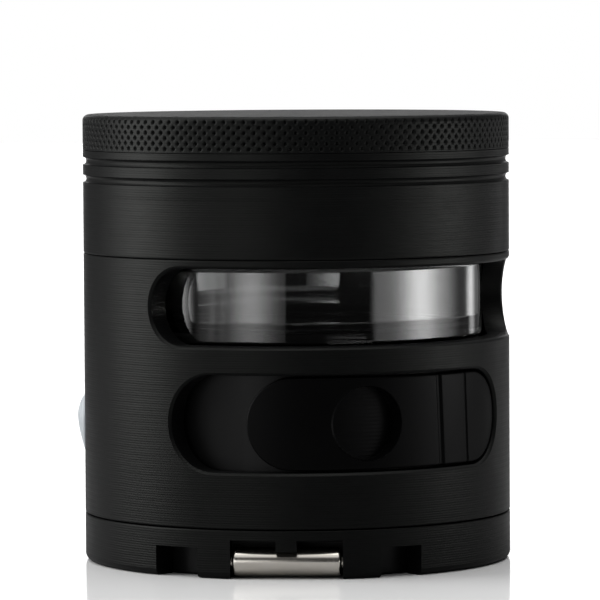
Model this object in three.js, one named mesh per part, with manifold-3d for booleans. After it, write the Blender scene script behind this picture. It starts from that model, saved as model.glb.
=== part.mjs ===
// Hand-held two-stage herb grinder with a glass catch jar and a storage base.
// Millimetres, +Z up. The origin is on the turning axis at the underside of the base.
// An azimuth is measured in degrees about +Z from -Y, which is the front, towards +X.

import * as THREE from 'three';
import { mergeVertices } from 'three/addons/utils/BufferGeometryUtils.js';
import Module from 'manifold-3d';

const wasm = await Module();
wasm.setup();

// Driving dimensions
const bodyRadius = 31.5;
const baseTop = 7.0;
const housingBottom = 7.2;
const housingTop = 45.4;
const chamberBottom = 45.5;
const chamberTop = 54.4;
const lidBottom = 54.6;
const lidTop = 65.8;
const boreRadius = 28.2;
const edgeChamfer = 0.3;
const cornerRadius = 1.0;
const runningGap = 0.1;

const lidPlate = 2.6;
const skirtInner = 29.0;
const grooveHeights = [56.4, 59.0];
const grooveWidth = 1.2;
const grooveDepth = 0.45;
const lidTeeth = [{ radius: 8, count: 6 }, { radius: 17, count: 12 }];
const lidTeethTip = 53.4;

const floorTop = 51.0;
const floorUnderside = 47.6;
const spigotOuter = 27.9;
const spigotInner = 25.6;
const spigotTop = 61.0;
const locatorDepth = 1.0;
const locatorInner = 25.0;
const locatorOuter = 28.0;
const chamberTeeth = [{ radius: 12.5, count: 8 }, { radius: 21.5, count: 14 }];
const dropHoles = [{ radius: 8, count: 8 }, { radius: 12.5, count: 8 }, { radius: 17, count: 18 }];
const dropHoleRadius = 1.6;
const toothRadialHalf = 1.7;
const toothTangentHalf = 1.9;

const postRadius = 4.2;
const postTop = 57.9;
const bossBottom = 58.6;
const pivotMagnetRadius = 2.5;
const pivotMagnetHeight = 2.7;
const seatMagnetRadius = 1.05;
const seatMagnetHeight = 1.8;
const seatMagnetCircle = 29.85;
const seatMagnetAzimuths = [120, 210, 300];

const glideInner = 28.0;
const glideOuter = 28.85;
const glideHeight = 3.0;

const upperWindow = { from: -42, to: 102, middle: 38.65, halfHeight: 5.55 };
const lowerWindow = { from: -35.3, to: 67, middle: 22.15, halfHeight: 6.95 };

const shoulderBottom = 12.4;
const shoulderTop = 13.2;
const shoulderInner = 26.5;
const linerInner = 25.6;
const linerOuter = 27.1;
const linerTop = 30.3;
const pourPort = { from: 48.5, to: 65, middle: 22.15, halfHeight: 4.4 };
const deckRadius = 28.0;
const deckTop = 32.2;

const jarRadius = 27.4;
const jarWall = 1.4;
const jarFloor = 1.9;
const jarHeel = 0.8;
const jarBottom = 32.7;
const jarTop = 44.0;
const matRadius = 24.0;
const matTop = 32.6;

const slider = { from: -13.5, to: 66.5, middle: 22.15, halfHeight: 6.6 };
const sliderFace = 31.15;
const flangeInner = 27.4;
const flangeOuter = 28.0;
const flangeOverhang = 2.5;
const flangeRise = 1.3;
const thumb = { azimuth: 18.8, middle: 22.1, radius: 5.4, depth: 1.9, tilt: 10 };

const plug = { azimuth: -93, middle: 19.8, radius: 4.55, inner: 25.2, rim: 31.2, proud: 1.7 };
const plugHoleRadius = 4.7;

const baseWall = 3.5;
const webBottom = 5.2;
const webInner = 24.6;
const threadOuter = 27.8;
const threadInner = 25.2;
const threadTop = 12.0;
const sealGroove = { low: 10.2, high: 11.4, depth: 0.9 };
const sealOuter = 28.1;
const plateRadius = 27.7;
const plateThickness = 2.0;
const plateRimTop = 5.0;

const rollerAzimuth = -3.1;
const rollerRadius = 2.1;
const rollerLength = 15.6;
const rollerReach = 28.3;
const rollerHeight = 2.4;
const axleRadius = 0.9;
const axleLength = 20.0;
const rollerNotch = { halfWidth: 8.05, top: 5.6, back: 26.0 };
const rollerTab = { halfWidth: 1.5, bottom: 4.0, back: 30.0 };
const sideNotches = [{ from: -40.3, to: -27.2 }, { from: 22.2, to: 34.1 }];
const sideNotchTop = 4.4;

const screwAzimuths = [60, 180, 300];
const screwCircle = 26.15;
const screwShank = 0.8;
const screwHead = 1.5;
const screwHeadTop = 1.0;
const screwTip = 6.2;

const turnSegments = 48;
const windowStep = 5;

// Finishes
const anodised = { color: 0x17181a, metalness: 0.6, roughness: 0.5 };
const darkInside = { color: 0x101112, metalness: 0.5, roughness: 0.55 };
const steel = { color: 0xc9c4b8, metalness: 1.0, roughness: 0.25 };
const nickel = { color: 0xb9babd, metalness: 1.0, roughness: 0.3 };
const clearGlass = { color: 0xe9eef0, metalness: 0.0, roughness: 0.05 };
const milkySilicone = { color: 0xd4dade, metalness: 0.0, roughness: 0.6 };
const nylon = { color: 0xd8d6cc, metalness: 0.0, roughness: 0.6 };
const blackRubber = { color: 0x121212, metalness: 0.0, roughness: 0.8 };

const grinder = new THREE.Group();

// Shared geometry helpers

function addPart(name, geometry, finish) {
  geometry.computeVertexNormals();
  const mesh = new THREE.Mesh(geometry, new THREE.MeshStandardMaterial(finish));
  mesh.name = name;
  grinder.add(mesh);
  return mesh;
}

function welded(geometry) {
  const bare = geometry.clone();
  bare.deleteAttribute('normal');
  bare.deleteAttribute('uv');
  const merged = mergeVertices(bare, 1e-4);
  const old = merged.getIndex().array;
  const kept = [];
  for (let i = 0; i < old.length; i += 3) {
    const [a, b, c] = [old[i], old[i + 1], old[i + 2]];
    if (a !== b && b !== c && a !== c) kept.push(a, b, c);
  }
  merged.setIndex(kept);
  return merged;
}

function solidOf(geometry) {
  const clean = welded(geometry);
  return new wasm.Manifold(new wasm.Mesh({
    numProp: 3,
    vertProperties: new Float32Array(clean.getAttribute('position').array),
    triVerts: new Uint32Array(clean.getIndex().array),
  }));
}

function geometryOf(solid) {
  const mesh = solid.getMesh();
  const geometry = new THREE.BufferGeometry();
  geometry.setAttribute('position', new THREE.Float32BufferAttribute(mesh.vertProperties, 3));
  geometry.setIndex(Array.from(mesh.triVerts));
  return geometry;
}

// A profile of [radius, height] pairs turned about Z, from the foot outwards and up to the top
function turned(profile, segments = turnSegments) {
  const points = profile.map(([radius, height]) => new THREE.Vector2(radius, height));
  return new THREE.LatheGeometry(points, segments).rotateX(Math.PI / 2);
}

// The same for a ring, whose profile closes on its first point
function turnedRing(profile, segments = turnSegments) {
  return turned([...profile, profile[0]], segments);
}

function rod(radius, low, high, segments = 16) {
  return turned([[0, low], [radius, low], [radius, high], [0, high]], segments);
}

function onCircle(radius, azimuth) {
  const angle = THREE.MathUtils.degToRad(azimuth);
  return new THREE.Vector2(radius * Math.sin(angle), -radius * Math.cos(angle));
}

function rodAt(spot, radius, low, high, segments = 12) {
  return rod(radius, low, high, segments).translate(spot.x, spot.y, 0);
}

// A block between two radii that follows the body's curve through stations {azimuth, low, high}
function curvedBlock(inner, outer, stations) {
  const corners = [];
  for (const { azimuth, low, high } of stations) {
    const near = onCircle(inner, azimuth);
    const far = onCircle(outer, azimuth);
    corners.push(near.x, near.y, low, far.x, far.y, low, far.x, far.y, high, near.x, near.y, high);
  }
  const faces = [0, 1, 2, 0, 2, 3];
  for (let i = 0; i < stations.length - 1; i += 1) {
    for (let side = 0; side < 4; side += 1) {
      const a = 4 * i + side;
      const b = 4 * i + (side + 1) % 4;
      faces.push(a, a + 4, b + 4, a, b + 4, b);
    }
  }
  const last = 4 * (stations.length - 1);
  faces.push(last, last + 2, last + 1, last, last + 3, last + 2);
  const geometry = new THREE.BufferGeometry();
  geometry.setAttribute('position', new THREE.Float32BufferAttribute(corners, 3));
  geometry.setIndex(faces);
  return geometry;
}

// Stations of a slot with round ends, laid round the body
function slotStations({ from, to, middle, halfHeight }) {
  const perMillimetre = THREE.MathUtils.radToDeg(1 / bodyRadius);
  const stations = [];
  const station = (azimuth, half) => stations.push({ azimuth, low: middle - half, high: middle + half });
  const endAngles = [8, 24, 40, 56, 72].map(THREE.MathUtils.degToRad);
  for (const angle of endAngles) {
    station(from + halfHeight * (1 - Math.cos(angle)) * perMillimetre, halfHeight * Math.sin(angle));
  }
  const straightFrom = from + halfHeight * perMillimetre;
  const straightTo = to - halfHeight * perMillimetre;
  const steps = Math.ceil((straightTo - straightFrom) / windowStep);
  for (let i = 0; i <= steps; i += 1) {
    station(straightFrom + (straightTo - straightFrom) * i / steps, halfHeight);
  }
  for (const angle of endAngles.toReversed()) {
    station(to - halfHeight * (1 - Math.cos(angle)) * perMillimetre, halfHeight * Math.sin(angle));
  }
  return stations;
}

function plainStations(from, to, low, high) {
  const steps = Math.ceil((to - from) / windowStep);
  return Array.from({ length: steps + 1 }, (_, i) => (
    { azimuth: from + (to - from) * i / steps, low, high }
  ));
}

function roundedCorner(radius, height, size) {
  return [0, 30, 60, 90].map(THREE.MathUtils.degToRad).map((angle) => (
    [radius - size + size * Math.cos(angle), height - size + size * Math.sin(angle)]
  ));
}

function concaveGroove(height) {
  return [-0.5, -0.2, 0.2, 0.5].map((part) => (
    [bodyRadius - grooveDepth * Math.cos(Math.PI * part), height + grooveWidth * part]
  ));
}

// One ring of diamond teeth, the first of them half a step from the front
function toothRing({ radius, count }, low, high) {
  const outline = new THREE.Shape([
    new THREE.Vector2(toothTangentHalf, 0),
    new THREE.Vector2(0, toothRadialHalf),
    new THREE.Vector2(-toothTangentHalf, 0),
    new THREE.Vector2(0, -toothRadialHalf),
  ]);
  return Array.from({ length: count }, (_, i) => {
    const azimuth = (i + 0.5) * 360 / count;
    const spot = onCircle(radius, azimuth);
    const tooth = new THREE.ExtrudeGeometry(outline, { depth: high - low, bevelEnabled: false });
    return tooth.rotateZ(THREE.MathUtils.degToRad(azimuth)).translate(spot.x, spot.y, low);
  });
}

function joined(geometries) {
  return geometries.map(solidOf).reduce((whole, piece) => whole.add(piece));
}

function without(solid, cutters) {
  return cutters.map(solidOf).reduce((rest, cutter) => rest.subtract(cutter), solid);
}

// A rod lying on an azimuth's outward line, at a height, between two distances from the axis
function outwardRod(azimuth, height, radius, near, far, segments = 24) {
  return rod(radius, near, far, segments)
    .rotateX(Math.PI / 2)
    .rotateZ(THREE.MathUtils.degToRad(azimuth))
    .translate(0, 0, height);
}

// Lid

function lidCap() {
  const underside = lidTop - lidPlate;
  const shell = turned([
    [0, underside],
    [skirtInner, underside],
    [skirtInner, lidBottom],
    [bodyRadius - 0.4, lidBottom],
    [bodyRadius, lidBottom + 0.4],
    ...grooveHeights.flatMap(concaveGroove),
    ...roundedCorner(bodyRadius, lidTop, cornerRadius),
    [0, lidTop],
  ]);
  const teeth = lidTeeth.flatMap((ring) => toothRing(ring, lidTeethTip, underside + 0.5));
  const boss = rod(postRadius, bossBottom, underside + 0.5, 24);
  const pocket = rod(pivotMagnetRadius + runningGap, bossBottom - 1, bossBottom + 3, 24);
  return geometryOf(without(joined([shell, boss, ...teeth]), [pocket]));
}

function lidMagnet() {
  return rod(pivotMagnetRadius, bossBottom + runningGap, bossBottom + pivotMagnetHeight, 24);
}

function glideRing() {
  const low = chamberTop + runningGap;
  return turnedRing([
    [glideInner, low],
    [glideOuter, low],
    [glideOuter, low + glideHeight],
    [glideInner, low + glideHeight],
  ]);
}

// Grinding chamber

function dropHoleCutters() {
  return dropHoles.flatMap(({ radius, count }) => (
    Array.from({ length: count }, (_, i) => (
      rodAt(onCircle(radius, i * 360 / count), dropHoleRadius, floorUnderside - 1, floorTop + 1, 10)
    ))
  ));
}

function magnetPockets(low, high) {
  return seatMagnetAzimuths.map((azimuth) => (
    rodAt(onCircle(seatMagnetCircle, azimuth), seatMagnetRadius + runningGap, low, high)
  ));
}

function grindChamber() {
  const cup = turned([
    [0, floorUnderside],
    [locatorInner, floorUnderside],
    [locatorInner, chamberBottom - locatorDepth],
    [locatorOuter, chamberBottom - locatorDepth],
    [locatorOuter, chamberBottom],
    [bodyRadius - edgeChamfer, chamberBottom],
    [bodyRadius, chamberBottom + edgeChamfer],
    [bodyRadius, chamberTop - edgeChamfer],
    [bodyRadius - edgeChamfer, chamberTop],
    [spigotOuter, chamberTop],
    [spigotOuter, spigotTop],
    [spigotInner, spigotTop],
    [spigotInner, floorTop],
    [0, floorTop],
  ]);
  const teeth = chamberTeeth.flatMap((ring) => toothRing(ring, floorTop - 0.5, spigotTop));
  const post = rod(postRadius, floorTop - 0.5, postTop, 24);
  const pocket = rod(pivotMagnetRadius + runningGap, postTop - 3, postTop + 1, 24);
  const seats = magnetPockets(chamberBottom - 1, chamberBottom + 2);
  return geometryOf(without(joined([cup, post, ...teeth]), [pocket, ...dropHoleCutters(), ...seats]));
}

function chamberMagnet() {
  return rod(pivotMagnetRadius, postTop - pivotMagnetHeight, postTop - runningGap, 24);
}

function seatMagnet(azimuth, low) {
  return rodAt(onCircle(seatMagnetCircle, azimuth), seatMagnetRadius, low, low + seatMagnetHeight);
}

// Housing with its two windows

function plugCutter() {
  return outwardRod(plug.azimuth, plug.middle, plugHoleRadius, webInner - 1, bodyRadius + 1);
}

function housingShell() {
  const tube = turnedRing([
    [boreRadius, housingBottom],
    [bodyRadius - edgeChamfer, housingBottom],
    [bodyRadius, housingBottom + edgeChamfer],
    [bodyRadius, housingTop - edgeChamfer],
    [bodyRadius - edgeChamfer, housingTop],
    [boreRadius, housingTop],
    [boreRadius, shoulderTop],
    [shoulderInner, shoulderTop],
    [shoulderInner, shoulderBottom],
    [boreRadius, shoulderBottom],
  ]);
  const cutInner = boreRadius - 1;
  const cutOuter = bodyRadius + 1;
  return geometryOf(without(solidOf(tube), [
    curvedBlock(cutInner, cutOuter, slotStations(upperWindow)),
    curvedBlock(cutInner, cutOuter, slotStations(lowerWindow)),
    plugCutter(),
    ...magnetPockets(housingTop - 2, housingTop + 1),
  ]));
}

function bayDeck() {
  return turned([
    [0, linerTop + runningGap],
    [deckRadius, linerTop + runningGap],
    [deckRadius, deckTop],
    [0, deckTop],
  ]);
}

function jarMat() {
  return rod(matRadius, deckTop + 0.05, matTop, 40);
}

function storageLiner() {
  const tube = turnedRing([
    [linerInner, shoulderTop + runningGap],
    [linerOuter, shoulderTop + runningGap],
    [linerOuter, linerTop],
    [linerInner, linerTop],
  ]);
  const port = curvedBlock(linerInner - 1, linerOuter + 1, slotStations(pourPort));
  return geometryOf(without(solidOf(tube), [plugCutter(), port]));
}

// Glass jar

function glassJar() {
  const heel = [-90, -60, -30, 0].map(THREE.MathUtils.degToRad).map((angle) => (
    [jarRadius - jarHeel + jarHeel * Math.cos(angle), jarBottom + jarHeel + jarHeel * Math.sin(angle)]
  ));
  return turned([
    [0, jarBottom],
    ...heel,
    [jarRadius, jarTop - 0.4],
    [jarRadius - 0.4, jarTop],
    [jarRadius - jarWall + 0.3, jarTop],
    [jarRadius - jarWall, jarTop - 0.3],
    [jarRadius - jarWall, jarBottom + jarFloor + 1],
    [jarRadius - jarWall - 1, jarBottom + jarFloor],
    [0, jarBottom + jarFloor],
  ]);
}

// Pour slider

function thumbCutter() {
  const dish = rod(thumb.radius, sliderFace - thumb.depth, bodyRadius + 5, 28)
    .translate(0, 0, -sliderFace)
    .rotateY(THREE.MathUtils.degToRad(-thumb.tilt))
    .translate(0, 0, sliderFace);
  return dish
    .rotateX(Math.PI / 2)
    .rotateZ(THREE.MathUtils.degToRad(thumb.azimuth))
    .translate(0, 0, thumb.middle);
}

function pourSlider() {
  const pad = curvedBlock(flangeOuter - 0.3, sliderFace, slotStations(slider));
  const low = slider.middle - slider.halfHeight - flangeRise;
  const high = slider.middle + slider.halfHeight + flangeRise;
  const span = plainStations(slider.from - flangeOverhang, slider.to + flangeOverhang, low, high);
  const flange = curvedBlock(flangeInner, flangeOuter, span);
  return geometryOf(without(joined([flange, pad]), [thumbCutter()]));
}

// Silicone side plug: its outer end is domed and leans, so that it stands out most near its top
function sidePlug() {
  const crown = [0, 25, 50, 75].map(THREE.MathUtils.degToRad).map((angle) => (
    [plug.radius * Math.cos(angle), plug.rim + plug.proud * Math.sin(angle)]
  ));
  const blank = turned([[0, plug.inner], [plug.radius, plug.inner], ...crown, [0, plug.rim + plug.proud]], 32);
  const places = blank.getAttribute('position');
  for (let i = 0; i < places.count; i += 1) {
    const past = Math.max(places.getZ(i) - plug.rim, 0);
    const rise = places.getY(i) / plug.radius;
    places.setZ(i, places.getZ(i) - past * 0.35 * (1 - rise));
  }
  return blank
    .rotateX(Math.PI / 2)
    .rotateZ(THREE.MathUtils.degToRad(plug.azimuth))
    .translate(0, 0, plug.middle);
}

// Base

function atRoller(geometry) {
  return geometry.rotateZ(THREE.MathUtils.degToRad(rollerAzimuth));
}

function frontBox(halfWidth, back, front, low, high) {
  const box = new THREE.BoxGeometry(2 * halfWidth, front - back, high - low);
  return atRoller(box.translate(0, -(front + back) / 2, (low + high) / 2));
}

function rollerPocket() {
  const { halfWidth, top, back } = rollerNotch;
  return frontBox(halfWidth, back, bodyRadius + 1, -1, top);
}

function acrossRod(radius, length, segments) {
  return atRoller(rod(radius, -length / 2, length / 2, segments)
    .rotateY(Math.PI / 2)
    .translate(0, -rollerReach, rollerHeight));
}

function screwHoles() {
  return screwAzimuths.flatMap((azimuth) => {
    const spot = onCircle(screwCircle, azimuth);
    return [
      rodAt(spot, screwShank + runningGap, -1, screwTip + 0.3),
      rodAt(spot, screwHead + runningGap, -1, screwHeadTop + runningGap, 16),
    ];
  });
}

function baseRing() {
  const wallInner = bodyRadius - baseWall;
  const ring = turnedRing([
    [wallInner, 0],
    [bodyRadius - cornerRadius, 0],
    [bodyRadius - 0.3 * cornerRadius, 0.3 * cornerRadius],
    [bodyRadius, cornerRadius],
    [bodyRadius, baseTop - edgeChamfer],
    [bodyRadius - edgeChamfer, baseTop],
    [threadOuter, baseTop],
    [threadOuter, sealGroove.low],
    [threadOuter - sealGroove.depth, sealGroove.low],
    [threadOuter - sealGroove.depth, sealGroove.high],
    [threadOuter, sealGroove.high],
    [threadOuter, threadTop],
    [threadInner, threadTop],
    [threadInner, baseTop],
    [webInner, baseTop],
    [webInner, webBottom],
    [wallInner, webBottom],
  ]);
  const tab = frontBox(rollerTab.halfWidth, rollerTab.back, bodyRadius + 2, rollerTab.bottom, baseTop);
  const notch = without(solidOf(rollerPocket()), [tab]);
  const sides = sideNotches.map(({ from, to }) => (
    curvedBlock(wallInner - 0.5, bodyRadius + 1, plainStations(from, to, -1, sideNotchTop))
  ));
  const axleHole = acrossRod(axleRadius + runningGap, axleLength + 0.4, 14);
  return geometryOf(without(solidOf(ring).subtract(notch), [...sides, axleHole, ...screwHoles()]));
}

function basePlate() {
  const plate = turned([
    [0, 0],
    [plateRadius, 0],
    [plateRadius, plateRimTop],
    [webInner, plateRimTop],
    [webInner, plateThickness],
    [0, plateThickness],
  ]);
  return geometryOf(without(solidOf(plate), [rollerPocket(), ...screwHoles()]));
}

function baseSeal() {
  const inner = threadOuter - sealGroove.depth + runningGap;
  const middle = (inner + sealOuter) / 2;
  const half = (sealOuter - inner) / 2;
  const height = (sealGroove.low + sealGroove.high) / 2;
  const section = [0, 60, 120, 180, 240, 300].map(THREE.MathUtils.degToRad);
  return turnedRing(section.map((angle) => (
    [middle + half * Math.cos(angle), height + 0.9 * half * Math.sin(angle)]
  )));
}

function steelRoller() {
  const half = rollerLength / 2;
  const bore = axleRadius + runningGap;
  const tube = turnedRing([
    [bore, -half],
    [rollerRadius - 0.5, -half],
    [rollerRadius, 0.5 - half],
    [rollerRadius, half - 0.5],
    [rollerRadius - 0.5, half],
    [bore, half],
  ], 28);
  return atRoller(tube.rotateY(Math.PI / 2).translate(0, -rollerReach, rollerHeight));
}

function rollerAxle() {
  return acrossRod(axleRadius, axleLength, 14);
}

function baseScrew(azimuth) {
  const screw = turned([
    [0, runningGap],
    [screwHead, runningGap],
    [screwHead, screwHeadTop],
    [screwShank, screwHeadTop],
    [screwShank, screwTip],
    [0, screwTip],
  ], 12);
  const spot = onCircle(screwCircle, azimuth);
  return screw.translate(spot.x, spot.y, 0);
}

// Assembly

addPart('lid_cap', lidCap(), anodised);
addPart('lid_magnet', lidMagnet(), nickel);
addPart('glide_ring', glideRing(), nylon);
addPart('grind_chamber', grindChamber(), anodised);
addPart('chamber_magnet', chamberMagnet(), nickel);
seatMagnetAzimuths.forEach((azimuth, i) => {
  addPart(`keeper_magnet_${i + 1}`, seatMagnet(azimuth, chamberBottom + runningGap), nickel);
  addPart(`seat_magnet_${i + 1}`, seatMagnet(azimuth, housingTop - runningGap - seatMagnetHeight), nickel);
});
addPart('housing_shell', housingShell(), anodised);
addPart('bay_deck', bayDeck(), darkInside);
addPart('jar_mat', jarMat(), blackRubber);
addPart('glass_jar', glassJar(), clearGlass);
addPart('storage_liner', storageLiner(), darkInside);
addPart('pour_slider', pourSlider(), darkInside);
addPart('side_plug', sidePlug(), milkySilicone);
addPart('base_ring', baseRing(), anodised);
addPart('base_plate', basePlate(), darkInside);
addPart('base_seal', baseSeal(), blackRubber);
addPart('steel_roller', steelRoller(), steel);
addPart('roller_axle', rollerAxle(), steel);
screwAzimuths.forEach((azimuth, i) => {
  addPart(`base_screw_${i + 1}`, baseScrew(azimuth), nickel);
});

export default grinder;
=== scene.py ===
import math

import bmesh
import bpy
import numpy as np
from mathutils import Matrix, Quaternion, Vector


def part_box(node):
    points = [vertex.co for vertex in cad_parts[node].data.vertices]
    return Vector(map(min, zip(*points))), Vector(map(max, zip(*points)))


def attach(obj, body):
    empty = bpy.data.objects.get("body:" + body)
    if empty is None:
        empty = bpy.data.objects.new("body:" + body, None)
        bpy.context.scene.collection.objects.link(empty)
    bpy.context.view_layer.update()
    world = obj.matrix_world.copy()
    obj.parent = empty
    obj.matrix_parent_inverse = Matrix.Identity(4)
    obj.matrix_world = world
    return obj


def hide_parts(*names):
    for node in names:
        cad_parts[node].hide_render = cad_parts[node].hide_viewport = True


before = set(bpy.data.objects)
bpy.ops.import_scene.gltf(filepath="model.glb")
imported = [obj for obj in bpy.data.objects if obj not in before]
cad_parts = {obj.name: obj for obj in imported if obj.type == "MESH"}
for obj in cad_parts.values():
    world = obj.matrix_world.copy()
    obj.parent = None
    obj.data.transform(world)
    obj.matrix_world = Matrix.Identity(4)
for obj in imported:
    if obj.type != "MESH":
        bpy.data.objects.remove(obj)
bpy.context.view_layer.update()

mm = 0.001               # the shapes below are worked out in millimetres
turn = 2 * math.pi
crease = 28              # degrees: a sharper edge than this isn't smoothed


# Where things are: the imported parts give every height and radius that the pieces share.

def extent(node):
    low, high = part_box(node)
    return np.array(low) / mm, np.array(high) / mm


def heights(node):
    low, high = extent(node)
    return low[2], high[2]


bodyRadius = extent("grind_chamber")[1][0]
lidBottom, lidTop = heights("lid_cap")
chamberLow, chamberSpigotTop = heights("grind_chamber")
housingBottom, housingTop = heights("housing_shell")
linerBottom, linerTop = heights("storage_liner")
deckBottom, deckTop = heights("bay_deck")
matBottom, matTop = heights("jar_mat")
jarBottom, jarTop = heights("glass_jar")
threadTop = heights("base_ring")[1]


# Surfaces: a grid of points becomes a closed mesh in metres, poles and seams welded.

def gridFaces(rows, columns, closeRows=False):
    # face (i, j) joins points (i, j), (i, j+1), (i+1, j+1) and (i+1, j); each row runs round to its start
    i, j = np.meshgrid(np.arange(rows if closeRows else rows - 1), np.arange(columns), indexing="ij")
    below, beside = (i + 1) % rows, (j + 1) % columns
    corners = [i * columns + j, i * columns + beside, below * columns + beside, below * columns + j]
    return np.stack(corners, axis=-1).reshape(-1, 4)


def meshPiece(name, points, faces, sharp=crease):
    # points (n, 3) in mm and four-cornered faces (m, 4) become one welded object
    mesh = bpy.data.meshes.new(name)
    mesh.vertices.add(len(points))
    mesh.vertices.foreach_set("co", (points * mm).astype(np.float32).ravel())
    mesh.loops.add(faces.size)
    mesh.loops.foreach_set("vertex_index", faces.astype(np.int32).ravel())
    mesh.polygons.add(len(faces))
    mesh.polygons.foreach_set("loop_start", np.arange(0, faces.size, 4, dtype=np.int32))
    mesh.update(calc_edges=True)
    work = bmesh.new()
    work.from_mesh(mesh)
    bmesh.ops.remove_doubles(work, verts=work.verts, dist=2e-7)
    bmesh.ops.recalc_face_normals(work, faces=work.faces)
    work.to_mesh(mesh)
    work.free()
    piece = bpy.data.objects.new(name, mesh)
    bpy.context.scene.collection.objects.link(piece)
    smooth(piece, sharp)
    return piece


def smooth(piece, sharp=crease):
    mesh = piece.data
    mesh.polygons.foreach_set("use_smooth", np.ones(len(mesh.polygons), dtype=bool))
    mesh.set_sharp_from_angle(angle=math.radians(sharp))


def surface(name, points, closeRows=False, sharp=crease):
    # points (rows, columns, 3) in mm
    rows, columns = points.shape[:2]
    faces = gridFaces(rows, columns, closeRows)
    return meshPiece(name, points.reshape(-1, 3), faces, sharp)


def manySurfaces(name, points, sharp=crease):
    # points (copies, rows, columns, 3): the same closed grid, several times over, in one mesh
    copies, rows, columns = points.shape[:3]
    one = gridFaces(rows, columns)
    faces = (one[None] + (np.arange(copies) * rows * columns)[:, None, None]).reshape(-1, 4)
    return meshPiece(name, points.reshape(-1, 3), faces, sharp)


def rounded(corners, closed=False, steps=5):
    # each corner (r, z, f) turns into the arc of radius f that touches both of its sides
    corner = np.array(corners, float)
    place = corner[:, :2]
    count = len(corner)
    outline = []
    for k in range(count):
        f = corner[k, 2]
        if f == 0 or (not closed and k in (0, count - 1)):
            outline.append(place[k:k + 1])
            continue
        back = place[k - 1] - place[k]
        ahead = place[(k + 1) % count] - place[k]
        back, ahead = back / np.linalg.norm(back), ahead / np.linalg.norm(ahead)
        half = math.acos(np.clip(back @ ahead, -1, 1)) / 2
        middle = (back + ahead) / np.linalg.norm(back + ahead)
        centre = place[k] + middle * f / math.sin(half)
        first = place[k] + back * f / math.tan(half) - centre
        last = place[k] + ahead * f / math.tan(half) - centre
        part = np.linspace(0, 1, steps + 1)[:, None]
        spread = math.pi - 2 * half
        arc = (np.sin((1 - part) * spread) * first + np.sin(part * spread) * last) / math.sin(spread)
        outline.append(centre + arc)
    return np.concatenate(outline)


def supported(profile, closed, near=0.12):
    # long straight runs gain a point close to each end, so that the shading stays flat along them
    ends = np.roll(profile, -1, axis=0) if closed else np.concatenate([profile[1:], profile[-1:]])
    length = np.linalg.norm(ends - profile, axis=1)[:, None]
    step = (ends - profile) / np.maximum(length, near) * near
    points = np.stack([profile, profile + step, ends - step], axis=1)
    kept = np.repeat(length > 5 * near, 3, axis=1)
    kept[:, 0] = True
    return points[kept]


def revolve(profile, columns=360):
    # (r, z) carried round the axis: x = r sin a, y = -r cos a, so that a = 0 faces the front
    a = np.arange(columns) * turn / columns
    r, z = profile[:, :1], profile[:, 1:]
    return np.stack([r * np.sin(a), -r * np.cos(a), z + 0 * a], axis=-1)


def turned(name, corners, columns=360, closed=False, sharp=crease):
    points = revolve(supported(rounded(corners, closed), closed), columns)
    return surface(name, points, closeRows=closed, sharp=sharp)


def facing(points, azimuth, height):
    # local (across, up, outwards) to the object's frame, looking out along an azimuth
    a = math.radians(azimuth)
    across, up, out = points[..., 0], points[..., 1], points[..., 2]
    x = across * math.cos(a) + out * math.sin(a)
    y = across * math.sin(a) - out * math.cos(a)
    return np.stack([x, y, up + height], axis=-1)


def slotOutline(slot, offset=0.0, endSteps=14, spacing=1.2):
    # half height h and arc length s along a slot with round ends, grown by an offset:
    # at an end s = c -+ (H + offset) cos t and h = (H + offset) sin t, and h is constant between
    h = slot["halfHeight"]
    first = math.radians(slot["from"]) * bodyRadius + h
    last = math.radians(slot["to"]) * bodyRadius - h
    t = np.linspace(0, math.pi / 2, endSteps)
    middle = np.linspace(first, last, max(2, int((last - first) / spacing)))[1:-1]
    ends = (h + offset) * np.cos(t)
    along = np.concatenate([first - ends, middle, (last + ends)[::-1]])
    half = np.concatenate([np.sin(t), np.ones(len(middle)), np.sin(t)[::-1]]) * (h + offset)
    return along, half


def slotCutter(name, slot, layers):
    # one closed ring of points at each place along the slot, made of layers (radius, flare there)
    lower, upper = [], []
    for radius, flare in layers:
        along, half = slotOutline(slot, flare)
        a = along / bodyRadius
        x, y = radius * np.sin(a), -radius * np.cos(a)
        lower.append(np.stack([x, y, slot["middle"] - half], axis=-1))
        upper.append(np.stack([x, y, slot["middle"] + half], axis=-1))
    return surface(name, np.stack(lower + upper[::-1], axis=1))


def arcBlock(name, first, last, low, high, inner, outer, steps=16):
    # a slab between two azimuths, two heights and two radii, following the body's curve
    a = np.radians(np.linspace(first, last, steps))[:, None]
    r = np.array([inner, outer, outer, inner])
    z = np.array([low, low, high, high])
    ring = np.stack([r * np.sin(a), -r * np.cos(a), z + 0 * a], axis=-1)
    return surface(name, capped(ring))


def capped(rings):
    # the first and last ring each gain a ring shrunk to its middle, which closes the ends
    start = np.broadcast_to(rings[:1].mean(axis=1, keepdims=True), rings[:1].shape)
    end = np.broadcast_to(rings[-1:].mean(axis=1, keepdims=True), rings[-1:].shape)
    return np.concatenate([start, rings, end])


def boxCutter(name, halfWidths, back, front, low, high, azimuth):
    left, right = halfWidths
    across = np.array([left, right, right, left])
    up = np.array([low, low, high, high])
    out = np.array([back, front])[:, None]
    local = np.stack([across + 0 * out, up + 0 * out, out + 0 * across], axis=-1)
    return surface(name, facing(capped(local), azimuth, 0))


def roundCutter(name, radius, near, far, azimuth, height, flare=0.0):
    # a rod lying outwards along an azimuth, opening at 45 degrees from the flare below the body's surface
    edge, wide = bodyRadius - flare, 3 * flare
    profile = np.array([
        [0, near], [radius, near], [radius, edge], [radius + wide, edge + wide],
        [radius + wide, far], [0, far]])
    rod = revolve(profile, 72)
    return surface(name, facing(rod, azimuth, height))


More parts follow.
